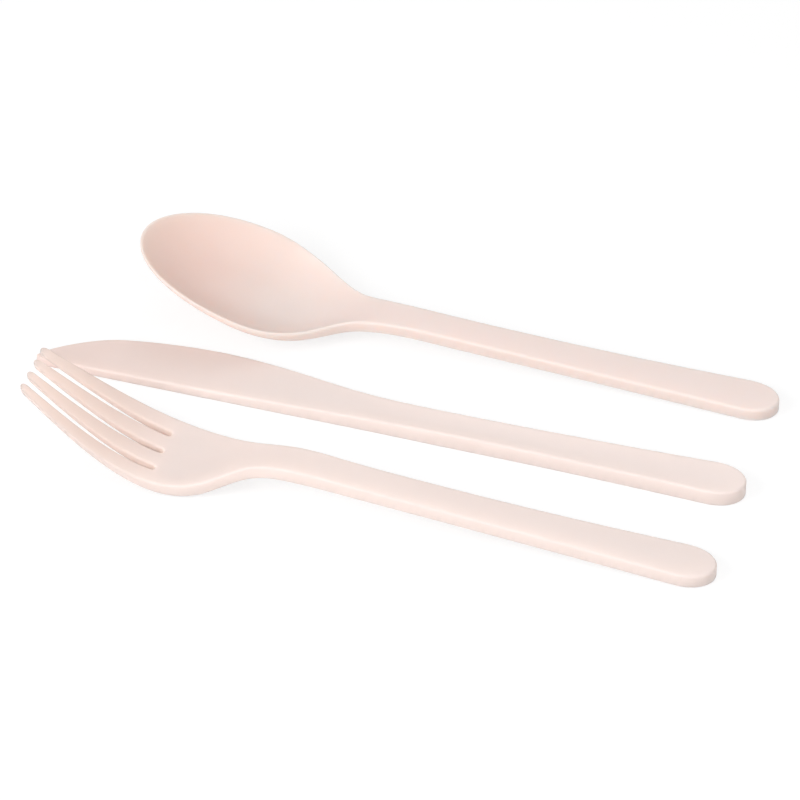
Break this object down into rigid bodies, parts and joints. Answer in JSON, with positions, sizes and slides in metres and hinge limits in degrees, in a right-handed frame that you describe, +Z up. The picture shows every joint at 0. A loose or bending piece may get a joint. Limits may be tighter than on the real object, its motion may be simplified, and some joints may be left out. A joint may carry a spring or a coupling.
{
  "type": "plastic cutlery pack",
  "caption": "Set of moulded plastic cutlery, a spoon, a knife and a fork in pale pink, lying side by side.",
  "frame": {"origin": "middle of the set on the table it lies on", "axes": "+Z up, +X along the pieces from their tips to the ends of their handles, +Y from the fork to the spoon"},
  "size_m": [0.2096, 0.1062, 0.0264],
  "materials": {
    "spoon_plastic": "satin moulded, pale pink",
    "knife_plastic": "satin moulded, pale pink",
    "fork_plastic": "satin moulded, pale pink"
  },
  "bodies": {
    "root": {"spoon": "spoon_plastic", "knife": "knife_plastic", "fork": "fork_plastic"}
  },
  "joints": []
}
